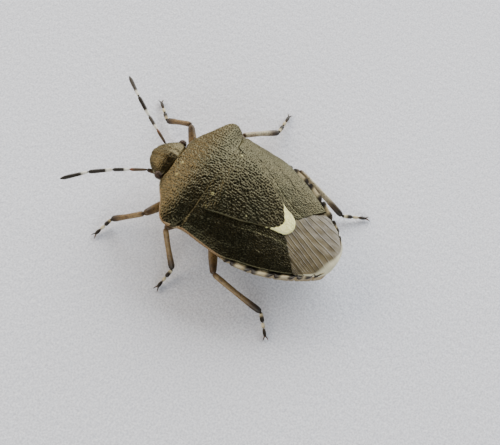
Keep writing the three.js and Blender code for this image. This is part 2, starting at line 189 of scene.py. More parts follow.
@dataclass(frozen=True)
class BodyForm:
    """The body's outline in plan and its heights, as smooth tables over its length."""

    outline: Table = Table([
        (-3.75, 0.95), (-3.5, 1.55), (-3.1, 2.18), (-2.7, 2.88), (-2.5, 3.07), (-2.28, 3.13), (-2.05, 3.07),
        (-1.7, 2.88), (-0.6, 2.92), (0.8, 2.98), (1.8, 2.82), (2.8, 2.42), (3.6, 1.95), (4.4, 1.32),
        (4.8, 0.86), (4.94, 0.52), (5.0, 0.2),
    ])
    bare_strip: Table = Table([
        (-1.6, 0), (0.5, 0.03), (1.3, 0.2), (2.2, 0.26), (3.4, 0.24), (4.1, 0.15), (4.5, 0.03), (4.8, 0),
    ])
    rim: Table = Table([
        (-3.75, 2.12), (-3.3, 2.43), (-2.3, 2.6), (-1.6, 2.46), (0.5, 2.17), (2.5, 1.95),
        (4, 1.82), (5.1, 1.72),
    ])
    crown: Table = Table([
        (-3.75, 2.42), (-3.3, 2.62), (-2.6, 2.98), (-1.9, 3.2), (-1.4, 3.28), (-0.5, 3.18), (0.5, 2.9),
        (1.5, 2.58), (2.5, 2.32), (3.4, 2.13), (4.3, 1.97), (5.1, 1.8),
    ])
    keel: Table = Table([
        (-3.75, 1.15), (-3.2, 0.95), (-2.4, 0.85), (0, 0.78), (1.5, 0.76), (3, 0.82),
        (4.2, 0.96), (5.1, 1.16),
    ])

    roundness: float = 0.8
    flank: float = 0.62

    def share_out(self, x: Array, y: Array) -> Array:
        """How far out a place lies, from 0 on the midline to 1 on the rim."""
        return np.clip(np.abs(x) / self.outline(y), 0, 1)

    def back(self, x: Array, y: Array) -> Array:
        """Height of the back."""
        arch = (1 - self.share_out(x, y) ** 2) ** self.roundness
        return self.rim(y) + (self.crown(y) - self.rim(y)) * arch

    def belly(self, x: Array, y: Array) -> Array:
        """Height of the belly."""
        edge = self.rim(y) - self.flank
        return edge + (self.keel(y) - edge) * (1 - self.share_out(x, y) ** 2.4) ** self.roundness

    def wing_reach(self, y: Array) -> Array:
        """Half the width that the folded wings cover."""
        return self.outline(y) - self.bare_strip(y)


FORM = BodyForm()
SEGMENT_ENDS = (1.0, 1.98, 2.92, 3.78, 4.4)


# Bench work


def clear_selection() -> None:
    """Leaves edit mode and deselects every object."""
    if bpy.context.object is not None and bpy.context.object.mode != "OBJECT":
        bpy.ops.object.mode_set(mode="OBJECT")
    bpy.ops.object.select_all(action="DESELECT")


def pick(piece: bpy.types.Object) -> None:
    """Selects one object alone and makes it active."""
    clear_selection()
    piece.select_set(True)
    bpy.context.view_layer.objects.active = piece


def begin_edit(mode: str = "VERT") -> None:
    """Enters edit mode on the active object with nothing selected."""
    bpy.ops.object.mode_set(mode="EDIT")
    bpy.ops.mesh.select_mode(type=mode)
    bpy.ops.mesh.select_all(action="DESELECT")


def end_edit() -> None:
    """Leaves edit mode."""
    bpy.ops.object.mode_set(mode="OBJECT")


def coordinates(piece: bpy.types.Object) -> Array:
    """The vertices of a mesh as rows of x, y, z."""
    rows = np.empty(len(piece.data.vertices) * 3)
    piece.data.vertices.foreach_get("co", rows)
    return rows.reshape(-1, 3)


def move_vertices(piece: bpy.types.Object, rows: Array) -> None:
    """Puts the vertices of a mesh at new places."""
    piece.data.vertices.foreach_set("co", np.asarray(rows, float).ravel())
    piece.data.update()


def vertex_normals(piece: bpy.types.Object) -> Array:
    """The vertex normals of a mesh as rows."""
    rows = np.empty(len(piece.data.vertices) * 3)
    piece.data.vertices.foreach_get("normal", rows)
    return rows.reshape(-1, 3)


def write_attribute(piece: bpy.types.Object, name: str, values: Array) -> None:
    """Stores one number for each vertex under a name that materials read."""
    layer = piece.data.attributes.new(name, "FLOAT", "POINT")
    layer.data.foreach_set("value", np.asarray(values, float).ravel())


def write_tint(piece: bpy.types.Object, name: str, colours: Array) -> None:
    """Stores a colour for each vertex under a name that materials read."""
    layer = piece.data.attributes.new(name, "FLOAT_COLOR", "POINT")
    rgba = np.hstack([colours, np.ones((len(colours), 1))])
    layer.data.foreach_set("color", rgba.ravel())


def apply_modifier(piece: bpy.types.Object, kind: str, **settings: object) -> None:
    """Adds one modifier with its settings and applies it."""
    pick(piece)
    modifier = piece.modifiers.new(kind.title(), kind)
    for key, value in settings.items():
        setattr(modifier, key, value)
    bpy.ops.object.modifier_apply(modifier=modifier.name)


def settle(piece: bpy.types.Object) -> None:
    """Leaves the object at the origin, unturned and unscaled, with its place in its mesh."""
    pick(piece)
    bpy.ops.object.transform_apply(location=True, rotation=True, scale=True)


def smooth_shade(piece: bpy.types.Object, angle: float = 50) -> None:
    """Shades a mesh smooth, but for edges sharper than an angle in degrees."""
    pick(piece)
    bpy.ops.object.shade_smooth_by_angle(angle=math.radians(angle))


def turn_faces_out() -> None:
    """Selects the whole mesh in edit mode and turns its faces outward."""
    bpy.ops.mesh.select_all(action="SELECT")
    bpy.ops.mesh.normals_make_consistent(inside=False)


def named(name: str) -> bpy.types.Object:
    """Gives the active object and its mesh a name."""
    piece = bpy.context.object
    piece.name = piece.data.name = name
    return piece


def add_grid(name: str, columns: int, rows: int, middle: Array, size: Array) -> bpy.types.Object:
    """Adds a flat grid of vertices at its size and place.

    Args:
        name: the piece's name.
        columns: vertices across, which run fastest.
        rows: vertices along.
        middle: centre in the part's frame, in metres.
        size: width and length in metres.

    Returns:
        The new object.
    """
    clear_selection()
    bpy.ops.mesh.primitive_grid_add(
        x_subdivisions=columns - 1, y_subdivisions=rows - 1, size=1, location=middle,
    )
    bpy.ops.transform.resize(value=(size[0], size[1], 1))
    piece = named(name)
    settle(piece)
    return piece


def lay_sheet(name: str, places: Array) -> bpy.types.Object:
    """Adds a grid and lays it over a surface.

    Args:
        name: the piece's name.
        places: an array of rows by columns by 3, in mm in the bug's own frame.

    Returns:
        The sheet as an object.
    """
    rows, columns = places.shape[:2]
    spots = placed(places.reshape(-1, 3))
    low, high = spots.min(axis=0), spots.max(axis=0)
    piece = add_grid(name, columns, rows, (low + high) / 2, high - low)
    move_vertices(piece, spots)
    return piece


def close_tube(piece: bpy.types.Object) -> None:
    """Joins the first and last columns of a rolled-up grid, and fills its two ends."""
    pick(piece)
    begin_edit()
    bpy.ops.mesh.select_all(action="SELECT")
    bpy.ops.mesh.remove_doubles(threshold=1e-7)
    bpy.ops.mesh.select_all(action="DESELECT")
    bpy.ops.mesh.select_non_manifold(extend=False)
    bpy.ops.mesh.fill_holes(sides=0)
    turn_faces_out()
    end_edit()


def thicken(piece: bpy.types.Object, depth: float) -> None:
    """Extrudes a whole sheet downward, so that it becomes a closed plate.

    Args:
        piece: the sheet.
        depth: how far, in mm.
    """
    pick(piece)
    begin_edit("FACE")
    bpy.ops.mesh.select_all(action="SELECT")
    bpy.ops.mesh.extrude_region_move(TRANSFORM_OT_translate={"value": (0, 0, -depth * MM)})
    turn_faces_out()
    end_edit()


def turn_selection(before: Vector, after: Vector, pivot: Vector) -> None:
    """Turns what is selected in edit mode, from one direction to another.

    Args:
        before: the direction it faces.
        after: the direction it is to face.
        pivot: the point that stays in place.
    """
    swing = before.rotation_difference(after).to_euler("XYZ")
    for axis, angle in zip("XYZ", swing):
        if abs(angle) > 1e-4:
            bpy.ops.transform.rotate(
                value=-angle, orient_axis=axis, orient_type="GLOBAL", center_override=pivot,
            )


DOME_REACH = (0.0, 0.12, 0.45)  # where a limb's end is drawn, as shares of its radius
DOME_SWELL = (0.28, 0.55, 0.86)  # and how wide it is there


@dataclass(frozen=True)
class Tube:
    """A round limb with domed ends, drawn ring by ring along a path."""

    path: Sequence[Sequence[float]]
    shape: Sequence[tuple[float, float]]
    sides: int = 12
    rings: int = 14

    def draw(self, name: str) -> bpy.types.Object:
        """Extrudes the limb from a small disc at its root.

        Args:
            name: the piece's name.

        Returns:
            The limb, closed at both ends.
        """
        line = spline(self.path, 200)
        length = float(np.linalg.norm(np.diff(line, axis=0), axis=1).sum())
        radius_at = Table(self.shape)
        inner = np.linspace(0, 1, self.rings)
        dome = np.array(DOME_REACH)
        root, tip = (float(radius_at(end)) / length for end in (0, 1))
        shares = np.concatenate([dome * root, root + inner * (1 - (root + tip)), 1 - dome[::-1] * tip])
        swell = np.ones(len(shares))
        swell[:3], swell[-3:] = DOME_SWELL, DOME_SWELL[::-1]
        radii = radius_at(shares) * swell * MM
        stops = np.clip(shares, 0, 1) * (len(line) - 1)
        order = np.arange(len(line))
        spots = placed(np.stack([np.interp(stops, order, column) for column in line.T], axis=1))
        centres = [Vector(row) for row in spots]
        ways = [Vector(row).normalized() for row in np.gradient(spots, axis=0)]
        clear_selection()
        bpy.ops.mesh.primitive_circle_add(
            vertices=self.sides, radius=radii[0], fill_type="NGON", location=centres[0],
            rotation=ways[0].to_track_quat("Z", "Y").to_euler(),
        )
        piece = named(name)
        begin_edit("FACE")
        bpy.ops.mesh.select_all(action="SELECT")
        for k in range(1, len(centres)):
            step = centres[k] - centres[k - 1]
            bpy.ops.mesh.extrude_region_move(TRANSFORM_OT_translate={"value": step})
            turn_selection(ways[k - 1], ways[k], centres[k])
            change = radii[k] / radii[k - 1]
            bpy.ops.transform.resize(value=(change, change, change), center_override=centres[k])
        turn_faces_out()
        end_edit()
        settle(piece)
        return piece


def join_pieces(name: str, pieces: Sequence[bpy.types.Object]) -> bpy.types.Object:
    """Joins several meshes into one object."""
    clear_selection()
    for piece in pieces:
        piece.select_set(True)
    bpy.context.view_layer.objects.active = pieces[0]
    bpy.ops.object.join()
    return named(name)


def fuse(piece: bpy.types.Object, others: Sequence[bpy.types.Object]) -> None:
    """Fuses closed meshes into one closed skin, and removes the spares."""
    spares = bpy.data.collections.new("spares")
    bpy.context.scene.collection.children.link(spares)
    for other in others:
        for home in list(other.users_collection):
            home.objects.unlink(other)
        spares.objects.link(other)
    apply_modifier(
        piece, "BOOLEAN", operation="UNION", operand_type="COLLECTION", collection=spares, solver="EXACT",
    )
    for other in others:
        bpy.data.objects.remove(other, do_unlink=True)
    bpy.data.collections.remove(spares)


# Finishes


class Slot(Enum):
    """Names for material slots, which the pieces built here do not use."""

    SHELL = "shell"
    MEMBRANE = "membrane"
    BELLY = "belly"
    FOOT = "foot"
    EYE = "eye"


Colour = tuple[float, float, float]


class Graph:
    """A material's node tree, with short calls that add nodes and join them."""

    def __init__(self, name: str) -> None:
        """Starts a material that has one main shader."""
        self.material = bpy.data.materials.new(name)
        self.material.use_nodes = True
        self.nodes, self.links = self.material.node_tree.nodes, self.material.node_tree.links
        self.shader = self.nodes["Principled BSDF"]

    def add(self, kind: str, inputs: dict | None = None, **settings: object) -> bpy.types.Node:
        """Adds a node, sets it and feeds its inputs, which are numbers or other nodes' outputs."""
        node = self.nodes.new(kind)
        for key, value in settings.items():
            setattr(node, key, value)
        for key, value in (inputs or {}).items():
            self.feed(node.inputs[key], value)
        return node

    def feed(self, socket: bpy.types.NodeSocket, value: object) -> None:
        """Links an output to a socket, or sets the socket's own value."""
        if isinstance(value, bpy.types.NodeSocket):
            self.links.new(value, socket)
        elif isinstance(value, tuple) and len(value) == 3 and socket.type == "RGBA":
            socket.default_value = (*value, 1.0)
        else:
            socket.default_value = value

    def math(self, operation: str, a: object, b: object = 0.0) -> bpy.types.NodeSocket:
        """One sum on two numbers."""
        return self.add("ShaderNodeMath", {0: a, 1: b}, operation=operation).outputs[0]

    def blend(self, factor: object, a: object, b: object, how: str = "MIX") -> bpy.types.NodeSocket:
        """A colour between two others."""
        node = self.add("ShaderNodeMix", data_type="RGBA", blend_type=how)
        for socket, value in zip((node.inputs[0], node.inputs[6], node.inputs[7]), (factor, a, b)):
            self.feed(socket, value)
        return node.outputs[2]

    def place(self) -> bpy.types.NodeSocket:
        """The place on the piece, in mm."""
        spot = self.add("ShaderNodeTexCoord").outputs["Object"]
        return self.add("ShaderNodeVectorMath", {0: spot, "Scale": 1 / MM}, operation="SCALE").outputs[0]

    def noise(self, size: float, detail: float = 3.0, place: object = None) -> bpy.types.NodeSocket:
        """Cloudy noise from 0 to 1, whose clouds are about `size` mm across."""
        spot = self.place() if place is None else place
        node = self.add("ShaderNodeTexNoise", {"Vector": spot, "Scale": 1 / size, "Detail": detail})
        return node.outputs["Fac"]

    def spots(self, size: float, place: object = None) -> bpy.types.NodeSocket:
        """Distance to the nearest of many scattered points that are about `size` mm apart."""
        spot = self.place() if place is None else place
        return self.add("ShaderNodeTexVoronoi", {"Vector": spot, "Scale": 1 / size}).outputs["Distance"]

    def step(self, value: object, low: float, high: float) -> bpy.types.NodeSocket:
        """Rises smoothly from 0 at `low` to 1 at `high`."""
        node = self.add("ShaderNodeMapRange", {"Value": value, "From Min": low, "From Max": high})
        node.interpolation_type = "SMOOTHSTEP"
        return node.outputs[0]

    def number(self, name: str) -> bpy.types.NodeSocket:
        """A number stored on the mesh."""
        return self.add("ShaderNodeAttribute", attribute_name=name).outputs["Fac"]

    def colour(self, name: str) -> bpy.types.NodeSocket:
        """A colour stored on the mesh."""
        return self.add("ShaderNodeAttribute", attribute_name=name).outputs["Color"]

    def bump(self, height: object, depth: float, strength: float = 1.0) -> None:
        """Adds fine relief to the main shader, `depth` mm deep."""
        node = self.add("ShaderNodeBump", {"Height": height, "Distance": depth * MM, "Strength": strength})
        self.links.new(node.outputs[0], self.shader.inputs["Normal"])

    def finish(self, **values: object) -> bpy.types.Material:
        """Sets the main shader's inputs, named with underscores, and gives the material."""
        for key, value in values.items():
            socket = "IOR" if key == "ior" else key.replace("_", " ").title()
            self.feed(self.shader.inputs[socket], value)
        return self.material


@dataclass(frozen=True)
class ShellFinish:
    """Dark olive-bronze shell with black pits, cream marks and a faint metallic sheen."""

    name: str = "bronze_shell"
    ridge: Colour = (0.030, 0.024, 0.010)
    ground: Colour = (0.008, 0.006, 0.003)
    green: Colour = (0.009, 0.010, 0.005)
    warm: Colour = (0.060, 0.034, 0.010)
    pit: Colour = (0.002, 0.0015, 0.001)
    cream: Colour = (0.80, 0.74, 0.28)
    light_cream: Colour = (0.84, 0.80, 0.42)
    rust: Colour = (0.30, 0.18, 0.09)
    gleam: Colour = (1.0, 0.90, 0.50)

    def make(self) -> bpy.types.Material:
        """Builds the material."""
        graph = Graph(self.name)
        cloud = graph.noise(0.9, 4)
        grain = graph.noise(0.07, 3)
        base = graph.blend(graph.step(grain, 0.35, 0.7), self.ground, self.ridge)
        green = graph.math("MULTIPLY", graph.step(cloud, 0.4, 0.65), 0.6)
        base = graph.blend(green, base, self.green)
        warm = graph.math("MULTIPLY", graph.number("warm"), graph.step(grain, 0.1, 0.75))
        base = graph.blend(warm, base, self.warm)
        base = graph.blend(graph.math("MULTIPLY", graph.number("pit"), 0.85), base, self.pit)
        base = graph.blend(graph.number("rust"), base, self.rust)
        pale = graph.blend(graph.step(grain, 0.3, 0.8), self.cream, self.light_cream)
        base = graph.blend(graph.number("pale"), base, pale)
        gloss = graph.math("ADD", 0.17, graph.math("MULTIPLY", grain, 0.2))
        metal = graph.math("MULTIPLY", 0.55, graph.math("SUBTRACT", 1.0, graph.number("pale")))
        graph.bump(graph.noise(0.04, 2), 0.010)
        return graph.finish(
            base_color=base, roughness=gloss, metallic=metal, ior=1.62, specular_tint=self.gleam,
        )


@dataclass(frozen=True)
class MembraneFinish:
    """Thin smoky wing membrane with darker veins and a clear, pale border."""

    name: str = "smoky_membrane"
    smoke: Colour = (0.138, 0.106, 0.050)
    deep: Colour = (0.084, 0.063, 0.030)
    vein: Colour = (0.030, 0.021, 0.012)
    clear: Colour = (0.50, 0.46, 0.31)

    def make(self) -> bpy.types.Material:
        """Builds the material."""
        graph = Graph(self.name)
        cloud = graph.noise(0.5, 4)
        base = graph.blend(graph.step(cloud, 0.35, 0.7), self.smoke, self.deep)
        base = graph.blend(graph.math("MULTIPLY", graph.number("vein"), 0.75), base, self.vein)
        base = graph.blend(graph.number("clear"), base, self.clear)
        graph.bump(graph.noise(0.05, 3), 0.006)
        return graph.finish(base_color=base, roughness=0.4, ior=1.48)


@dataclass(frozen=True)
class SkinFinish:
    """Satin skin whose tint comes with the mesh, freckled with dark pits where it says so."""

    name: str = "freckled_skin"
    freckle: Colour = (0.030, 0.020, 0.014)
    shade: Colour = (0.62, 0.55, 0.48)
    gleam: Colour = (1.0, 0.9, 0.75)

    def make(self) -> bpy.types.Material:
        """Builds the material."""
        graph = Graph(self.name)
        cloud = graph.noise(0.35, 4)
        tint = graph.colour("tint")
        deeper = graph.blend(1.0, tint, self.shade, "MULTIPLY")
        base = graph.blend(graph.step(cloud, 0.4, 0.7), tint, deeper)
        dots = graph.math("SUBTRACT", 1.0, graph.step(graph.spots(0.10), 0.22, 0.44))
        dots = graph.math("MULTIPLY", dots, graph.number("freckled"))
        base = graph.blend(dots, base, self.freckle)
        graph.bump(graph.noise(0.05, 3), 0.006)
        return graph.finish(base_color=base, roughness=0.5, ior=1.4, specular_tint=self.gleam)


@dataclass(frozen=True)
class EyeFinish:
    """Glossy dark red-brown eye."""

    name: str = "dark_eye"
    deep: Colour = (0.008, 0.004, 0.003)
    warm: Colour = (0.034, 0.014, 0.008)
    gleam: Colour = (1.0, 0.8, 0.6)

    def make(self) -> bpy.types.Material:
        """Builds the material."""
        graph = Graph(self.name)
        base = graph.blend(graph.step(graph.noise(0.12, 3), 0.35, 0.65), self.deep, self.warm)
        return graph.finish(base_color=base, roughness=0.24, ior=1.45, specular_tint=self.gleam)


@dataclass(frozen=True)
class ClawFinish:
    """Hard dark claw that is warm at its root."""

    name: str = "horn_claw"
    dark: Colour = (0.018, 0.012, 0.009)
    warm: Colour = (0.16, 0.075, 0.03)

    def make(self) -> bpy.types.Material:
        """Builds the material."""
        graph = Graph(self.name)
        base = graph.blend(graph.step(graph.noise(0.1, 3), 0.45, 0.75), self.dark, self.warm)
        return graph.finish(base_color=base, roughness=0.3, ior=1.54)


@dataclass(frozen=True)
class PaperFinish:
    """White paper with a fine tooth."""

    name: str = "white_paper"
    colour: Colour = (0.57, 0.57, 0.61)
    light: Colour = (0.80, 0.80, 0.83)

    def make(self) -> bpy.types.Material:
        """Builds the material."""
        graph = Graph(self.name)
        grain = graph.noise(0.09, 3)
        base = graph.blend(graph.step(grain, 0.3, 0.7), self.colour, self.light)
        graph.bump(graph.noise(0.3, 5), 0.05, 0.9)
        return graph.finish(base_color=base, roughness=0.85, ior=1.45)


# Plates of the back


def distance_to(points: Array, line: Array) -> Array:
    """Distance in plan from each point to the nearest of a line's points."""
    nearest = np.empty(len(points))
    for start in range(0, len(points), 4000):
        rows = points[start:start + 4000, None, :2] - line[None, :, :2]
        nearest[start:start + 4000] = np.sqrt((rows**2).sum(axis=2).min(axis=1))
    return nearest


@dataclass
class Plate:
    """A curved plate ruled between two edges in plan, pitted, and rounded at its border."""

    name: str
    stands_for: str
    columns: int
    rows: int
    thickness: float = 0.1
    border: float = 0.06
    pits: Pits = Pits(0.1, 0.048, 3, 1.3)
    pit_depth: float = 0.032
    pit_margin: tuple[float, float] = (0.02, 0.09)
    pits_lost: float = 0.75

    def edges(self) -> tuple[Array, Array]:
        """The plate's two long edges in plan, with `rows` points each."""
        raise NotImplementedError

    def rise(self, x: Array, y: Array) -> Array:
        """How far the plate stands above the body's form."""
        return np.zeros(x.shape)

    def marks(self, x: Array, y: Array, inward: Array) -> dict[str, Array]:
        """Cream, rust and warm brown marks, from 0 to 1.

        Args:
            x: place across, in mm.
            y: place along, in mm.
            inward: distance from the plate's border, in mm.

        Returns:
            Values for "pale", "rust" and "warm".
        """
        return {name: np.zeros(x.shape) for name in ("pale", "rust", "warm")}

    def build(self, material: bpy.types.Material) -> bpy.types.Object:
        """Models the plate and dresses it.

        Args:
            material: the finish of the shell.

        Returns:
            The finished piece.
        """
        first, second = self.edges()
        share = np.linspace(0, 1, self.columns)[None, :, None]
        plan = first[:, None, :] * (1 - share) + second[:, None, :] * share
        x, y = plan[..., 0].ravel(), plan[..., 1].ravel()
        border = np.vstack([plan[0], plan[-1], plan[:, 0], plan[:, -1]])
        inward = distance_to(np.stack([x, y], axis=1), border)
        marks = self.marks(x, y, inward)
        shown = 1 - self.pits_lost * marks["pale"]
        pit = self.pits.depth(x, y) * shown * eased(inward, *self.pit_margin)
        curl = np.clip(1 - inward / self.border, 0, 1)
        drop = self.border * (1 - np.sqrt(np.clip(1 - curl**2, 0, 1)))
        z = FORM.back(x, y) + self.rise(x, y) - drop - pit * self.pit_depth
        places = np.stack([x, y, z], axis=1).reshape(self.rows, self.columns, 3)
        piece = lay_sheet(self.name, places)
        write_attribute(piece, "pit", pit)
        for name, values in marks.items():
            write_attribute(piece, name, values)
        thicken(piece, self.thickness)
        smooth_shade(piece)
        piece.data.materials.append(material)
        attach(piece, "root")
        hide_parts(self.stands_for)
        return piece


def with_mirror(half: Array) -> Array:
    """A line from the left side over the midline to the right, from its left half."""
    other = half[::-1] * np.array([-1, 1])
    return np.vstack([other[:-1], half])


@dataclass
class Pronotum(Plate):
    """The shield behind the head, with rounded shoulders and a pale thin rim in front of them."""

    name: str = "pronotum_plate"
    stands_for: str = "pronotum"
    columns: int = 88
    rows: int = 241
    flecks: tuple[tuple[float, float, float], ...] = ((0.12, -3.21, 0.06), (0.82, -3.08, 0.05))
    fleck_strength: float = 0.22
    rim_strength: float = 0.7
    warmth: float = 0.75
    warm_fade: tuple[float, float] = (-2.95, -2.0)
    rear_drop: float = 0.11
    front: tuple[tuple[float, float], ...] = (
        (0, -3.60), (0.7, -3.57), (1.2, -3.66), (1.62, -3.45), (2.18, -3.06), (2.85, -2.68), (3.05, -2.48),
        (3.12, -2.3),
    )
    back: tuple[tuple[float, float], ...] = (
        (0, -1.36), (1.2, -1.39), (1.95, -1.5), (2.5, -1.62), (2.9, -1.80), (3.07, -2.05), (3.13, -2.24),
    )

    def edges(self) -> tuple[Array, Array]:
        """The front and the back edge."""
        half = self.rows // 2 + 1
        return with_mirror(spline(self.front, half)), with_mirror(spline(self.back, half))

    def marks(self, x: Array, y: Array, inward: Array) -> dict[str, Array]:
        """A thin rust rim at the sides, two pale flecks, and the warmer front half."""
        side = eased(np.abs(x), 1.5, 1.9) * (y < -2.0)
        rim = (1 - eased(inward, 0.015, 0.05)) * side
        pale = np.zeros(x.shape)
        for spot_x, spot_y, size in self.flecks:
            pale += np.exp(-(((x - spot_x) ** 2 + (y - spot_y) ** 2) / size**2)) * self.fleck_strength
        warm = self.warmth * (1 - eased(y + 0.08 * ripple(x, y, 0.8, 6), *self.warm_fade))
        return {"pale": np.clip(pale, 0, 0.5), "rust": rim * self.rim_strength, "warm": warm}

    def rise(self, x: Array, y: Array) -> Array:
        """A slightly uneven surface that falls off behind the shoulders."""
        return 0.010 * ripple(x, y, 0.45, 4) - self.rear_drop * eased(y, -2.35, -1.35)


@dataclass
class Scutellum(Plate):
    """The long plate between the wings, with a cream crescent round its blunt tip."""

    name: str = "scutellum_plate"
    stands_for: str = "scutellum"
    columns: int = 170
    rows: int = 200
    border: float = 0.08
    pits: Pits = Pits(0.098, 0.047, 11, 1.4)
    pit_depth: float = 0.036
    flecks: tuple[tuple[float, float, float, float], ...] = (
        (0.99, -1.15, 0.06, 0.32), (1.63, -1.10, 0.04, 0.15), (-1.5, -1.12, 0.05, 0.3),
        (0.95, 0.6, 0.035, 0.3),
    )
    outline: tuple[tuple[float, float], ...] = (
        (1.95, -1.52), (1.85, -1.3), (1.58, -0.4), (1.28, 0.5), (1.02, 1.0), (0.78, 1.5), (0.62, 1.88),
        (0.55, 2.18), (0.38, 2.46), (0.1, 2.6),
    )
    crescent: Table = Table([
        (1.55, 0), (1.7, 0.1), (1.85, 0.25), (2.0, 0.46), (2.15, 0.68), (2.6, 0.7),
    ])
    crescent_front: float = 1.5

    def edges(self) -> tuple[Array, Array]:
        """The two sides."""
        left = spline(self.outline, self.rows)
        return left * np.array([-1, 1]), left

    def rise(self, x: Array, y: Array) -> Array:
        """Level with the pronotum in front, and above the wings behind."""
        return -0.05 + 0.14 * eased(y, -1.45, -0.6) + 0.012 * ripple(x, y, 0.5, 5)

    def marks(self, x: Array, y: Array, inward: Array) -> dict[str, Array]:
        """The cream crescent, and a few pale flecks."""
        width = self.crescent(y - 0.16 * eased(x, -0.2, 0.4))
        wavy = width + 0.035 * ripple(x, y, 0.2, 8)
        crescent = (1 - eased(inward - wavy, -0.03, 0.02)) * (y > self.crescent_front)
        for spot_x, spot_y, size, strength in self.flecks:
            apart = (x - spot_x) ** 2 + (y - spot_y) ** 2
            crescent = crescent + strength * np.exp(-(apart / size**2))
        return {**super().marks(x, y, inward), "pale": np.clip(crescent, 0, 1)}


@dataclass
class Corium(Plate):
    """The leathery front part of a folded wing, with its long fold line and a thin pale rim."""

    columns: int = 90
    rows: int = 220
    side: int = 1
    rear: float = 3.36
    border: float = 0.04
    thickness: float = 0.055
    pits: Pits = Pits(0.086, 0.041, 21)
    pit_depth: float = 0.020
    inner: tuple[tuple[float, float], ...] = (
        (1.9, -1.5), (1.76, -1.3), (1.49, -0.4), (1.19, 0.5), (0.93, 1.0), (0.69, 1.5), (0.53, 1.9),
        (0.5, 2.2), (0.55, 2.52),
    )
    fold_line: Table = Table([
        (-1.5, 2.25), (-0.4, 1.93), (0.6, 1.5), (1.4, 1.12), (2.2, 0.86), (2.6, 0.8),
    ])
    groove: float = 0.012
    ridge: float = 0.014
    tuck: float = 0.09
    vein_line: Table = Table([(-1.5, 2.6), (0.0, 2.5), (1.4, 2.05), (2.6, 1.62)])

    def edges(self) -> tuple[Array, Array]:
        """The inner edge, tucked under the scutellum, and the outer edge on the body's rim."""
        y = np.linspace(-1.72, self.rear, 60)
        outer = np.stack([FORM.wing_reach(y), y], axis=1)
        mirror = np.array([self.side, 1])
        edges = [spline(self.inner, self.rows) * mirror, respaced(outer, self.rows) * mirror]
        return tuple(edges[::self.side])

    def fold(self, x: Array, y: Array) -> Array:
        """Distance from the fold that runs beside the scutellum."""
        return np.abs(np.abs(x) - self.fold_line(y))

    def rise(self, x: Array, y: Array) -> Array:
        """A sharp groove at the fold, a low vein outside it, and the front tucked under the pronotum."""
        groove = -self.groove * np.exp(-((self.fold(x, y) / 0.035) ** 2))
        vein = self.ridge * np.exp(-(((np.abs(x) - self.vein_line(y)) / 0.09) ** 2))
        vein = vein * (1 - eased(y, 1.8, 2.6))
        tuck = self.tuck * (1 - eased(y, -1.62, -1.45))
        return 0.008 * ripple(x, y, 0.5, 23) + groove + vein - tuck

    def marks(self, x: Array, y: Array, inward: Array) -> dict[str, Array]:
        """The pale rim in front, and the faint pale line inside the fold."""
        outside = np.abs(np.abs(x) - FORM.wing_reach(y))
        rim = (1 - eased(outside, 0.02, 0.045)) * (1 - eased(y, 0.2, 0.9))
        line = np.exp(-(((self.fold(x, y) - 0.05) / 0.03) ** 2)) * eased(y, 0.3, 1.0)
        return {**super().marks(x, y, inward), "pale": 0.03 * line, "rust": rim * 0.65}


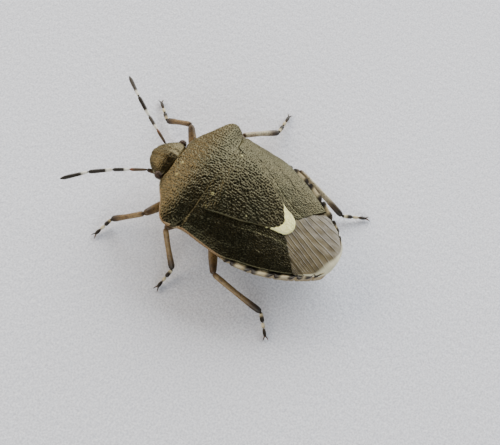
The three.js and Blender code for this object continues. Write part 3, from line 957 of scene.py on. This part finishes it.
@dataclass
class Membrane:
    """The thin ends of the folded wings. The right one lies on top, so the veins lean to the left."""

    front: tuple[tuple[float, float], ...] = (
        (0, 2.5), (0.36, 2.45), (0.66, 2.46), (1.2, 2.9), (1.66, 3.42),
    )
    tail_rows: tuple[float, ...] = (4.96, 4.9, 4.8, 4.55, 4.3, 4.0, 3.7)
    slant: float = 0.35
    vein_spread: tuple[float, float] = (5.0, 1.9)
    vein_height: float = 0.012
    vein_width: float = 0.008
    overlap: float = 0.6
    sunk: float = 0.035
    columns: int = 210
    rows: int = 90
    length: float = 2.2
    pale_border: tuple[float, float, float, float] = (0.10, 0.28, 0.5, 0.65)
    sheet: float = 0.02

    def plan(self, low: float, high: float) -> tuple[Array, Array]:
        """Places in plan of a share of the fan.

        Args:
            low: where the sheet starts across the fan, from -1 on the right.
            high: where it ends, up to 1 on the left.

        Returns:
            The places as rows by columns by 2, and the share across the fan of each column.
        """
        tail = [(0, 5.0)] + [(float(FORM.wing_reach(y)), y) for y in self.tail_rows]
        lines = [with_mirror(spline(half, 160)) for half in (self.front, tail)]
        across = np.linspace(low, high, self.columns)
        shifted = across + self.slant * (1 - across**2)
        ends = []
        for line, reach in zip(lines, (across, shifted)):
            order = np.linspace(0, 1, len(line))
            ends.append(np.stack([np.interp((reach + 1) / 2, order, column) for column in line.T], axis=1))
        share = np.linspace(0, 1, self.rows)[:, None, None]
        return ends[0][None] * (1 - share) + ends[1][None] * share, across

    def build_sheet(self, name: str, low: float, high: float, lift: float) -> bpy.types.Object:
        """Models one wing's membrane with its raised veins."""
        plan, across = self.plan(low, high)
        x, y = plan[..., 0], plan[..., 1]
        slow, quick = self.vein_spread
        run = (across + 1)[None, :] + 0.012 * ripple(x, y, 1.0, 31)
        density = slow + 2 * quick * run
        phase = (slow * run + quick * run**2) % 1
        vein = np.exp(-((np.abs(phase - 0.5) / density / self.vein_width) ** 2))
        toward_tail = np.linspace(0, 1, self.rows)[:, None]
        vein = vein * (1 - eased(toward_tail, 0.82, 0.97)) * eased(toward_tail, 0.0, 0.08)
        wave = 0.012 * ripple(x, y, 0.6, 33)
        z = FORM.back(x, y) - self.sunk + lift + self.vein_height * vein + wave
        piece = lay_sheet(name, np.stack([x, y, z], axis=2))
        narrow, extra, middle, spread = self.pale_border
        window = narrow + extra * np.exp(-(((x - middle) / spread) ** 2))
        clear = 1 - eased((1 - toward_tail) * self.length / window, 0.45, 1.0)
        write_attribute(piece, "vein", vein.ravel())
        write_attribute(piece, "clear", clear.ravel())
        thicken(piece, self.sheet)
        smooth_shade(piece)
        return piece

    def build(self, material: bpy.types.Material) -> list[bpy.types.Object]:
        """Models both sheets and dresses them."""
        sheets = [
            self.build_sheet("membrane_under", self.overlap - 0.15, 1.0, -0.03),
            self.build_sheet("membrane_over", -1.0, self.overlap, 0.015),
        ]
        for piece in sheets:
            piece.data.materials.append(material)
            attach(piece, "root")
            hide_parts("membrane")
        return sheets


# Head and eyes


@dataclass
class Head:
    """A broad wedge that slopes down to the front, with three lobes and swollen temples."""

    sections: tuple[tuple[float, ...], ...] = (
        (-3.55, 1.88, 0.90, 0.50, 0.0), (-3.72, 1.90, 0.97, 0.56, 0.0), (-3.88, 1.91, 1.00, 0.57, 0.07),
        (-4.09, 1.91, 0.93, 0.53, 0.14), (-4.3, 1.90, 0.83, 0.45, 0.2), (-4.47, 1.89, 0.71, 0.35, 0.27),
        (-4.62, 1.88, 0.55, 0.26, 0.34), (-4.71, 1.87, 0.4, 0.19, 0.39), (-4.77, 1.87, 0.19, 0.1, 0.44),
    )
    around: int = 180
    along: int = 110
    groove: float = 0.016
    squareness: float = 0.82
    warmth: float = 0.6
    neck_y: float = -3.6
    pits: Pits = Pits(0.09, 0.042, 41)
    pit_depth: float = 0.018

    def surface(self) -> Array:
        """Places on the head as rows along by columns around by 3."""
        rows = np.array(self.sections)
        order = np.arange(len(rows))
        steps = np.linspace(0, len(rows) - 1, self.along)
        y, z, wide, high, lean = (Table(list(zip(order, column)))(steps)[:, None] for column in rows.T)
        angle = np.linspace(0, math.tau, self.around)[None, :]
        out, up = (np.sign(v) * np.abs(v) ** self.squareness for v in (np.cos(angle), np.sin(angle)))
        temple = np.exp(-(((y + 3.86) / 0.34) ** 2)) * np.exp(-(((np.sin(angle) - 0.35) / 0.5) ** 2))
        x = out * wide * (1 + 0.08 * temple)
        lobe_half = 0.27 - 0.10 * eased(-y, 4.0, 4.8)
        above = eased(np.sin(angle), 0.15, 0.5)
        lobe = 0.05 * (1 - eased(np.abs(x), lobe_half * 0.5, lobe_half * 1.15)) * above
        crease = -self.groove * np.exp(-(((np.abs(x) - lobe_half * 1.12) / 0.05) ** 2))
        crease = crease * above * eased(-y, 3.95, 4.1)
        rise = up * (high + 0.07 * temple) + lobe + crease
        return np.stack([x, y - rise * np.sin(lean), z + rise * np.cos(lean)], axis=2)

    def build(self, material: bpy.types.Material) -> bpy.types.Object:
        """Models the head and dresses it."""
        piece = lay_sheet("head_shell", self.surface())
        close_tube(piece)
        spots = in_body_frame(coordinates(piece))
        normals = vertex_normals(piece)
        above = eased(normals[:, 2], -0.2, 0.3)
        pit = self.pits.depth(spots[:, 0], spots[:, 1] + spots[:, 2]) * (0.35 + 0.65 * above)
        pit *= eased(np.abs(spots[:, 1] - self.neck_y), 0.05, 0.2)
        spots -= normals * (pit * self.pit_depth)[:, None]
        move_vertices(piece, placed(spots))
        write_attribute(piece, "pit", pit)
        write_attribute(piece, "pale", np.zeros(len(spots)))
        write_attribute(piece, "rust", 0.25 * (1 - eased(normals[:, 2], -0.6, 0.0)))
        write_attribute(piece, "warm", np.full(len(spots), self.warmth))
        smooth_shade(piece)
        piece.data.materials.append(material)
        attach(piece, "root")
        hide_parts("head")
        return piece


@dataclass
class Eyes:
    """Two small faceted globes on the head's corners, and the two ocelli behind them."""

    centre: tuple[float, float, float] = (1.01, -3.87, 2.14)
    radius: float = 0.19
    ocellus_at: tuple[float, float, float] = (0.46, -3.8, 2.38)
    ocellus_radius: float = 0.065

    def globe(self, name: str, centre: Sequence[float], radius: float, fineness: int) -> bpy.types.Object:
        """Models one globe whose surface is many small domed facets."""
        clear_selection()
        bpy.ops.mesh.primitive_ico_sphere_add(
            subdivisions=fineness, radius=radius * MM, location=placed(centre),
        )
        piece = named(name)
        begin_edit("FACE")
        bpy.ops.mesh.select_all(action="SELECT")
        bpy.ops.mesh.bevel(offset_type="PERCENT", offset_pct=33, affect="VERTICES")
        bpy.ops.mesh.select_all(action="SELECT")
        bpy.ops.mesh.inset(thickness=0.0022 * MM, depth=0.0028 * MM, use_individual=True)
        end_edit()
        settle(piece)
        return piece

    def build(self, material: bpy.types.Material) -> list[bpy.types.Object]:
        """Models the eyes and ocelli and dresses them."""
        pieces = []
        for side, sign in (("left", 1), ("right", -1)):
            mirror = np.array([sign, 1, 1])
            eye = self.globe(f"eye_{side}_globe", self.centre * mirror, self.radius, 4)
            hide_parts(f"eye_{side}")
            ocellus = self.globe(f"ocellus_{side}", self.ocellus_at * mirror, self.ocellus_radius, 3)
            pieces += [eye, ocellus]
        for piece in pieces:
            smooth_shade(piece, 80)
            piece.data.materials.append(material)
            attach(piece, "root")
        return pieces


# Skin: underbody, legs, feelers and beak in one


@dataclass(frozen=True)
class Stretch:
    """One length of a limb: its path, its thickness and the colours from its root to its tip."""

    path: Sequence[Sequence[float]]
    shape: Sequence[tuple[float, float]]
    tints: Sequence[tuple[float, Colour]]
    freckles: Sequence[tuple[float, float]]
    rings: int = 12

    def tube(self) -> Tube:
        """The limb's form."""
        return Tube(self.path, self.shape, 12, self.rings)

    def tint(self, share: Array) -> Array:
        """Colours at shares of the length."""
        stops, colours = zip(*self.tints)
        return np.stack([np.interp(share, stops, channel) for channel in zip(*colours)], axis=1)

    def freckled(self, share: Array) -> Array:
        """How strongly the freckles show at shares of the length."""
        return np.interp(share, *zip(*self.freckles))


TAN: Colour = (0.190, 0.122, 0.050)
# A paler tan that stands in for painted light: it is used on the shins of the right legs, where the light
# falls from that side.
PAINTED_LIGHT_TAN: Colour = (0.42, 0.36, 0.23)
BROWN: Colour = (0.062, 0.036, 0.016)
DARK: Colour = (0.010, 0.007, 0.005)
CREAM: Colour = (0.56, 0.49, 0.31)
RIM_CREAM: Colour = (0.42, 0.35, 0.20)
WHITE: Colour = (0.66, 0.63, 0.53)
RUST: Colour = (0.17, 0.06, 0.025)


@dataclass(frozen=True)
class Leg:
    """One leg, from its hip under the body to the tip of its foot."""

    name: str
    hip: tuple[float, float, float]
    knee: tuple[float, float, float]
    heel: tuple[float, float, float]
    toe: tuple[float, float, float]
    femur_radius: float = 0.225
    tibia_radius: float = 0.135
    foot_radius: float = 0.09
    # The shin's colour; on the right legs a paler tan is painted light, not the shin's own colour.
    shin: Colour = TAN

    def nodes(self) -> list[str]:
        """The CAD nodes that this leg stands for."""
        return [f"leg_{self.name}_{part}" for part in ("hip", "femur", "tibia", "foot")]

    def stretches(self) -> list[Stretch]:
        """The leg's lengths from the hip outward."""
        hip, knee, heel, toe = (np.array(point) for point in (self.hip, self.knee, self.heel, self.toe))
        root = hip * np.array([1.1, 1, 1]) + np.array([0, 0, 0.04])
        middle = (root + knee) / 2 + np.array([0, 0, 0.03])
        shin = (knee + heel) / 2 + (knee - hip) * np.array([1, 1, 0]) * 0.012
        end = toe * np.array([1, 1, 0]) + np.array([0, 0, 0.1])
        joints = [heel, *(heel + (end - heel) * share for share in (0.42, 0.66, 1))]
        f, t, s = self.femur_radius, self.tibia_radius, self.foot_radius
        return [
            Stretch([(hip[0] * 0.9, hip[1], 1.05), hip + np.array([0, 0, -0.02])],
                    [(0, 0.27), (0.7, 0.25), (1, 0.2)], [(0, TAN), (1, TAN)], [(0, 0.5), (1, 0.5)], 6),
            Stretch([root, middle, knee],
                    [(0, 0.13), (0.06, 0.16), (0.3, f * 0.97), (0.62, f), (0.93, f * 0.74), (1, f * 0.6)],
                    [(0, TAN), (0.7, TAN), (0.88, BROWN), (1, BROWN)], [(0, 0.5), (0.5, 0.8), (1, 1)], 14),
            Stretch([knee, shin, heel],
                    [(0, t * 0.8), (0.06, t), (0.5, t * 0.95), (0.9, t * 1.15), (1, t * 0.95)],
                    [(0, BROWN), (0.08, self.shin), (0.6, self.shin), (0.78, BROWN), (0.92, DARK), (1, DARK)],
                    [(0, 0.6), (0.7, 0.7), (1, 0.4)], 12),
            Stretch([joints[0], joints[1]], [(0, s * 0.75), (0.3, s), (0.85, s * 1.1), (1, s * 0.8)],
                    [(0, CREAM), (0.3, CREAM), (0.55, DARK), (1, DARK)], [(0, 0.2), (1, 0)], 6),
            Stretch([joints[1], joints[2]], [(0, s * 0.7), (0.4, s * 0.9), (1, s * 0.8)],
                    [(0, CREAM), (0.75, CREAM), (1, BROWN)], [(0, 0.1), (1, 0)], 5),
            Stretch([joints[2], joints[3]], [(0, s * 0.65), (0.5, s * 0.95), (1, s * 0.6)],
                    [(0, BROWN), (0.3, DARK), (1, DARK)], [(0, 0), (1, 0)], 6),
        ]


LEGS = (
    Leg("front_left", (0.72, -2.85, 0.62), (2.75, -3.46, 1.55), (3.22, -4.83, 0.3), (4.22, -5.06, 0.15)),
    Leg("front_right", (-0.72, -2.85, 0.62), (-2.59, -4.33, 1.43), (-2.79, -5.7, 0.3), (-3.68, -6.6, 0.15)),
    Leg("middle_left", (0.95, -1.75, 0.58), (2.92, -2.24, 1.74), (3.8, -1.19, 0.3), (4.84, -1.3, 0.15)),
    # The shin's paler tan here is painted light falling on the right side.
    Leg("middle_right", (-0.95, -1.75, 0.58), (-3.38, -1.94, 1.66), (-5.42, -0.9, 0.3), (-6.74, -0.98, 0.15),
        shin=PAINTED_LIGHT_TAN),
    Leg("hind_left", (1.05, -0.72, 0.56), (3.5, 0.63, 1.5), (3.34, 3.19, 0.3), (4.18, 3.94, 0.15)),
    # The shin's paler tan here is painted light falling on the right side.
    Leg("hind_right", (-1.05, -0.72, 0.56), (-3.36, 1.2, 1.5), (-3.12, 3.93, 0.3), (-3.82, 4.98, 0.15),
        shin=PAINTED_LIGHT_TAN),
)


@dataclass(frozen=True)
class Feeler:
    """One feeler of five lengths; the last three are white at the root and black beyond."""

    name: str
    joints: tuple[tuple[float, float, float], ...]
    radii: tuple[float, ...] = (0.10, 0.075, 0.085, 0.095, 0.09)
    white_shares: tuple[float, ...] = (0.0, 0.0, 0.33, 0.30, 0.26)

    def nodes(self) -> list[str]:
        """The CAD nodes that this feeler stands for."""
        return [f"antenna_{self.name}_{i + 1}" for i in range(5)]

    def stretches(self) -> list[Stretch]:
        """The feeler's lengths from the head outward."""
        rows = []
        for i, (radius, white) in enumerate(zip(self.radii, self.white_shares)):
            start, end = np.array(self.joints[i]), np.array(self.joints[i + 1])
            if i == 0:
                start = start + (start - end) * 0.4
            tip = 0.35 if i == 4 else 0.85
            girths = ((0, 0.55), (0.1, 0.8), (0.5, 1), (0.85, 1), (1, tip))
            shape = [(share, radius * girth) for share, girth in girths]
            if i < 2:
                tints = [(0, BROWN), (0.7, BROWN), (1, RUST if i else DARK)]
                freckles = [(0, 0.7), (1, 0.3)]
            else:
                tints = [(0, WHITE), (white - 0.04, WHITE), (white + 0.04, DARK), (1, DARK)]
                freckles = [(0, 0), (1, 0)]
            rows.append(Stretch([start, (start + end) / 2, end], shape, tints, freckles, 10))
        return rows


FEELERS = (
    Feeler("left", (
        (0.6, -4.25, 1.42), (0.82, -4.57, 1.66), (1.3, -5.2, 1.72), (1.75, -5.83, 1.7), (2.55, -6.59, 1.85),
        (3.6, -7.37, 1.93),
    )),
    Feeler("right", (
        (-0.6, -4.25, 1.42), (-0.86, -4.66, 1.65), (-1.2, -5.34, 1.76), (-1.66, -6.09, 1.69),
        (-2.19, -7.04, 1.89), (-2.97, -8.09, 1.77),
    )),
)


@dataclass(frozen=True)
class Beak:
    """The four-jointed beak, folded back between the legs."""

    path: tuple[tuple[float, float, float], ...] = (
        (0, -4.6, 1.62), (0, -4.4, 1.12), (0, -3.75, 0.64), (0, -2.6, 0.43), (0, -1.3, 0.42),
    )
    radius: float = 0.15

    def stretches(self) -> list[Stretch]:
        """The beak's four lengths."""
        line = spline(self.path, 5)
        r = self.radius
        rows = []
        for i in range(4):
            shape = [(0, r * (0.95 - 0.12 * i)), (0.5, r * (1 - 0.12 * i)), (1, r * (0.85 - 0.15 * i))]
            tints = [(0, TAN), (0.8, TAN), (1, BROWN)] if i < 3 else [(0, BROWN), (0.5, DARK), (1, DARK)]
            rows.append(Stretch([line[i], line[i + 1]], shape, tints, [(0, 0.3), (1, 0.3)], 8))
        return rows


@dataclass
class Skin:
    """Underbody, legs, feelers and beak as one closed skin."""

    first_y: float = -3.62
    last_y: float = 4.72
    stations: int = 280
    around: int = 112
    plate_room: float = 0.13
    tuck_under: float = 0.07
    lip_curve: tuple[tuple[float, float], ...] = (
        (0.12, 0.01), (0.04, 0), (0, 0.05), (0.03, 0.13), (0.12, 0.22),
    )
    notch: float = 0.12
    tooth: float = 0.05
    tooth_reach: float = 0.17
    belly_tint: Colour = (0.25, 0.19, 0.10)
    flank_tint: Colour = (0.075, 0.05, 0.026)
    limb_margin: float = 0.4
    limb_hold: float = 0.03
    segment_ends: tuple[float, ...] = SEGMENT_ENDS
    front_creases: tuple[float, ...] = (-2.35, -1.2, -0.2)
    crease: float = 0.03
    pits: Pits = Pits(0.14, 0.055, 61)
    pit_depth: float = 0.016
    tail_dome: tuple[tuple[float, float], ...] = ((0.12, 0.05), (0.35, 0.1), (0.7, 0.13))
    mark_half: float = 0.30
    band_front: float = 0.55
    limbs: list[Stretch] = field(default_factory=list)

    def rim_reach(self, y: float) -> float:
        """Half width at the rim: a rounded tooth before and behind each notch between two segments."""
        base = float(FORM.outline(y))
        under = base - self.tuck_under
        bare = base
        for end in self.segment_ends:
            bare -= self.notch * math.exp(-(((y - end) / 0.05) ** 2))
            for side in (self.tooth_reach, -self.tooth_reach):
                bare += self.tooth * math.exp(-(((y - end - side) / 0.1) ** 2))
        share = float(eased(y, 0.45, 0.9) * (1 - eased(y, 4.45, 4.7)))
        return under * (1 - share) + bare * share

    def section(self, y: float) -> Array:
        """The cross section at one place along the body, from the middle of its top round by the left."""
        reach = self.rim_reach(y)
        base = float(FORM.outline(y))
        bare = float(eased(y, 0.5, 1.0))
        lip = float(FORM.rim(y)) + 0.04 * bare - self.plate_room * (1 - bare)
        xs = [0, 0.3 * base, 0.6 * base, 0.8 * base, 0.92 * base - 0.1]
        half = [(x, float(FORM.back(x, y)) - self.plate_room - 0.03) for x in xs]
        half += [(reach - inward, lip - down) for inward, down in self.lip_curve]
        half += [(share * base, float(FORM.belly(share * base, y))) for share in (0.86, 0.72, 0.5, 0.25, 0)]
        line = spline(half, self.around // 2 + 1, 12)
        other = line[1:-1][::-1] * np.array([-1, 1])
        ring = np.vstack([line, other, line[:1]])
        return np.stack([ring[:, 0], np.full(len(ring), y), ring[:, 1]], axis=1)

    def underbody(self) -> bpy.types.Object:
        """Models the closed underbody."""
        ys = np.linspace(self.first_y, self.last_y, self.stations)
        rings = [self.section(float(y)) for y in ys]
        last = rings[-1]
        middle = last.mean(axis=0)
        for share, back in self.tail_dome:
            ring = last + (middle - last) * share
            ring[:, 1] = self.last_y + back
            rings.append(ring)
        piece = lay_sheet("skin", np.stack(rings))
        close_tube(piece)
        spots = in_body_frame(coordinates(piece))
        normals = vertex_normals(piece)
        below = eased(-normals[:, 2], -0.1, 0.4)
        sink = np.zeros(len(spots))
        for end in (*self.front_creases, *self.segment_ends):
            bend = spots[:, 1] - end + 0.10 * (np.abs(spots[:, 0]) / 3) ** 2
            sink += self.crease * np.exp(-((bend / 0.035) ** 2)) * below
        sink += self.pit_depth * self.pits.depth(spots[:, 0], spots[:, 1]) * below
        spots -= normals * sink[:, None]
        move_vertices(piece, placed(spots))
        return piece

    def paint(self, piece: bpy.types.Object) -> None:
        """Stores the skin's tint and freckles at every vertex."""
        spots = in_body_frame(coordinates(piece))
        x, y, z = spots.T
        tint = np.tile(np.array(self.belly_tint), (len(spots), 1))
        freckled = np.full(len(spots), 0.75)
        side = np.abs(x) / FORM.outline(y)
        rim = (side > 0.86) * (z > FORM.rim(y) - 0.20) * (y > self.band_front)
        black = np.zeros(len(spots))
        for end in self.segment_ends:
            black = np.maximum(black, np.exp(-((np.abs(y - end) / self.mark_half) ** 8)))
        share = black[:, None]
        band = np.array(DARK)[None] * share + np.array(RIM_CREAM)[None] * (1 - share)
        tint = np.where(rim[:, None], band, tint)
        freckled = np.where(rim, 0.15, freckled)
        front = (z > FORM.rim(y) - 0.30) * (y <= self.band_front)
        tint = np.where(front[:, None], np.array(self.flank_tint), tint)
        best = np.full(len(spots), 1e9)
        owner = np.full(len(spots), -1)
        shares = np.zeros(len(spots))
        for index, limb in enumerate(self.limbs):
            line = spline(limb.path, 12)
            low, high = line.min(axis=0) - self.limb_margin, line.max(axis=0) + self.limb_margin
            near = np.flatnonzero(((spots > low) & (spots < high)).all(axis=1))
            radius_at = Table(limb.shape)
            for k in range(len(line) - 1):
                a, b = line[k], line[k + 1]
                along = b - a
                t = np.clip(((spots[near] - a) @ along) / (along @ along), 0, 1)
                gap = np.linalg.norm(spots[near] - a - t[:, None] * along, axis=1)
                share = (k + t) / (len(line) - 1)
                gap = gap - radius_at(share)
                closer = gap < best[near]
                ids = near[closer]
                best[ids], owner[ids], shares[ids] = gap[closer], index, share[closer]
        on_limb = best < self.limb_hold
        for index, limb in enumerate(self.limbs):
            ids = np.flatnonzero(on_limb & (owner == index))
            tint[ids] = limb.tint(shares[ids])
            freckled[ids] = limb.freckled(shares[ids])
        write_tint(piece, "tint", tint)
        write_attribute(piece, "freckled", freckled)

    def build(self, material: bpy.types.Material) -> bpy.types.Object:
        """Models the underbody and limbs, fuses them and dresses the skin.

        Args:
            material: the finish of the skin.

        Returns:
            The finished piece.
        """
        piece = self.underbody()
        parts = []
        for source in (*LEGS, *FEELERS, Beak()):
            for limb in source.stretches():
                self.limbs.append(limb)
                part = limb.tube().draw(f"limb_{len(self.limbs)}")
                apply_modifier(part, "SUBSURF", levels=1, render_levels=1)
                parts.append(part)
        fuse(piece, parts)
        self.paint(piece)
        smooth_shade(piece, 60)
        piece.data.materials.append(material)
        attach(piece, "root")
        nodes = [name for source in (*LEGS, *FEELERS) for name in source.nodes()]
        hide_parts("thorax", "abdomen", "beak", *nodes)
        return piece


@dataclass
class Claws:
    """A pair of curved claws at the tip of each foot."""

    length: float = 0.26
    spread: float = 0.5
    arch: tuple[tuple[float, float], ...] = ((0.5, 0.02), (0.85, -0.03), (1, -0.08))
    shape: tuple[tuple[float, float], ...] = ((0, 0.045), (0.4, 0.036), (0.8, 0.018), (1, 0.006))

    def build(self, material: bpy.types.Material) -> bpy.types.Object:
        """Models all the claws as one piece and dresses it."""
        parts = []
        for leg in LEGS:
            heel, toe = np.array(leg.heel), np.array(leg.toe)
            ahead = (toe - heel) * np.array([1, 1, 0])
            ahead /= np.linalg.norm(ahead)
            root = toe * np.array([1, 1, 0]) - ahead * 0.08 + np.array([0, 0, 0.1])
            for turn in (self.spread, -self.spread):
                out = np.array([
                    ahead[0] * math.cos(turn) - ahead[1] * math.sin(turn),
                    ahead[0] * math.sin(turn) + ahead[1] * math.cos(turn), 0,
                ])
                path = [root]
                for share, lift in self.arch:
                    path.append(root + out * self.length * share + np.array([0, 0, lift]))
                part = Tube(path, self.shape, 8, 8).draw("claw")
                apply_modifier(part, "SUBSURF", levels=1, render_levels=1)
                parts.append(part)
        piece = join_pieces("claws", parts)
        smooth_shade(piece, 60)
        piece.data.materials.append(material)
        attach(piece, "root")
        return piece


# The studio


@dataclass(frozen=True)
class Lamp:
    """A soft rectangular light: the way to it from the bug, its distance and size in metres, and watts."""

    name: str
    way: tuple[float, float, float]
    distance: float
    size: tuple[float, float]
    power: float
    colour: Colour


@dataclass(frozen=True)
class Studio:
    """A sheet of paper, soft lights and the camera."""

    camera_place: tuple[float, float, float] = (0.0228229, 0.0082406, 0.040719)
    camera_right: tuple[float, float, float] = (-0.503, 0.852, 0.143)
    camera_up: tuple[float, float, float] = (-0.721, -0.505, 0.474)
    lens: float = 72.0
    sheet: float = 0.6
    sky: Colour = (0.80, 0.83, 0.95)
    sky_strength: float = 0.12
    lamps: tuple[Lamp, ...] = (
        Lamp("window", (-0.88, -0.08, 0.42), 0.5, (0.8, 0.34), 8.4, (0.95, 0.98, 1.0)),
        Lamp("room", (-0.05, -0.93, 0.42), 0.5, (0.5, 0.3), 3.2, (1.0, 0.88, 0.72)),
        Lamp("fill", (0.8, 0.45, 0.32), 0.6, (0.7, 0.4), 4.5, (0.88, 0.94, 1.0)),
    )

    def floor(self) -> bpy.types.Object:
        """Lays the sheet of paper."""
        clear_selection()
        bpy.ops.mesh.primitive_grid_add(
            x_subdivisions=60, y_subdivisions=60, size=self.sheet, location=(0, 0, 0),
        )
        piece = named("paper_floor")
        piece.data.materials.append(PaperFinish().make())
        return piece

    def camera(self) -> None:
        """Sets the camera at the photograph's viewing angle."""
        right, up = Vector(self.camera_right).normalized(), Vector(self.camera_up)
        up = (up - right * up.dot(right)).normalized()
        back = right.cross(up)
        lens = bpy.data.cameras.new("camera")
        lens.lens, lens.sensor_width, lens.sensor_fit = self.lens, 36.0, "HORIZONTAL"
        lens.clip_start, lens.clip_end = 0.001, 10.0
        camera = bpy.data.objects.new("camera", lens)
        camera.matrix_world = Matrix((
            (right.x, up.x, back.x, self.camera_place[0]), (right.y, up.y, back.y, self.camera_place[1]),
            (right.z, up.z, back.z, self.camera_place[2]), (0, 0, 0, 1),
        ))
        bpy.context.scene.collection.objects.link(camera)
        bpy.context.scene.camera = camera

    def hang(self, lamp: Lamp) -> None:
        """Hangs one soft light that faces the bug."""
        panel = bpy.data.lights.new(lamp.name, "AREA")
        panel.shape, panel.energy, panel.color = "RECTANGLE", lamp.power, lamp.colour
        panel.size, panel.size_y = lamp.size
        way = Vector(lamp.way)
        light = bpy.data.objects.new(lamp.name, panel)
        light.location = way.normalized() * lamp.distance
        light.rotation_euler = way.to_track_quat("Z", "Y").to_euler()
        bpy.context.scene.collection.objects.link(light)

    def build(self) -> None:
        """Sets up floor, lights and camera."""
        self.camera()
        self.floor()
        for lamp in self.lamps:
            self.hang(lamp)
        world = bpy.data.worlds.new("world")
        world.use_nodes = True
        shade = world.node_tree.nodes["Background"]
        shade.inputs["Color"].default_value = (*self.sky, 1)
        shade.inputs["Strength"].default_value = self.sky_strength
        bpy.context.scene.world = world


def main() -> None:
    """Builds the bug piece by piece."""
    logging.basicConfig(level=logging.INFO, format="%(message)s")
    Studio().build()
    shell = ShellFinish().make()
    makers: list[tuple[str, Callable[[], object]]] = [
        ("pronotum", lambda: Pronotum().build(shell)),
        ("scutellum", lambda: Scutellum().build(shell)),
        ("left wing", lambda: Corium("corium_left_plate", "corium_left", side=1, rear=3.6).build(shell)),
        ("right wing", lambda: Corium("corium_right_plate", "corium_right", side=-1).build(shell)),
        ("membranes", lambda: Membrane().build(MembraneFinish().make())),
        ("head", lambda: Head().build(shell)),
        ("eyes", lambda: Eyes().build(EyeFinish().make())),
        ("skin", lambda: Skin().build(SkinFinish().make())),
        ("claws", lambda: Claws().build(ClawFinish().make())),
    ]
    for name, make in makers:
        made = make()
        pieces = made if isinstance(made, list) else [made]
        log.info("%s: %s", name, ", ".join(f"{p.name} {len(p.data.polygons)} faces" for p in pieces))


if __name__ == "__main__":
    main()
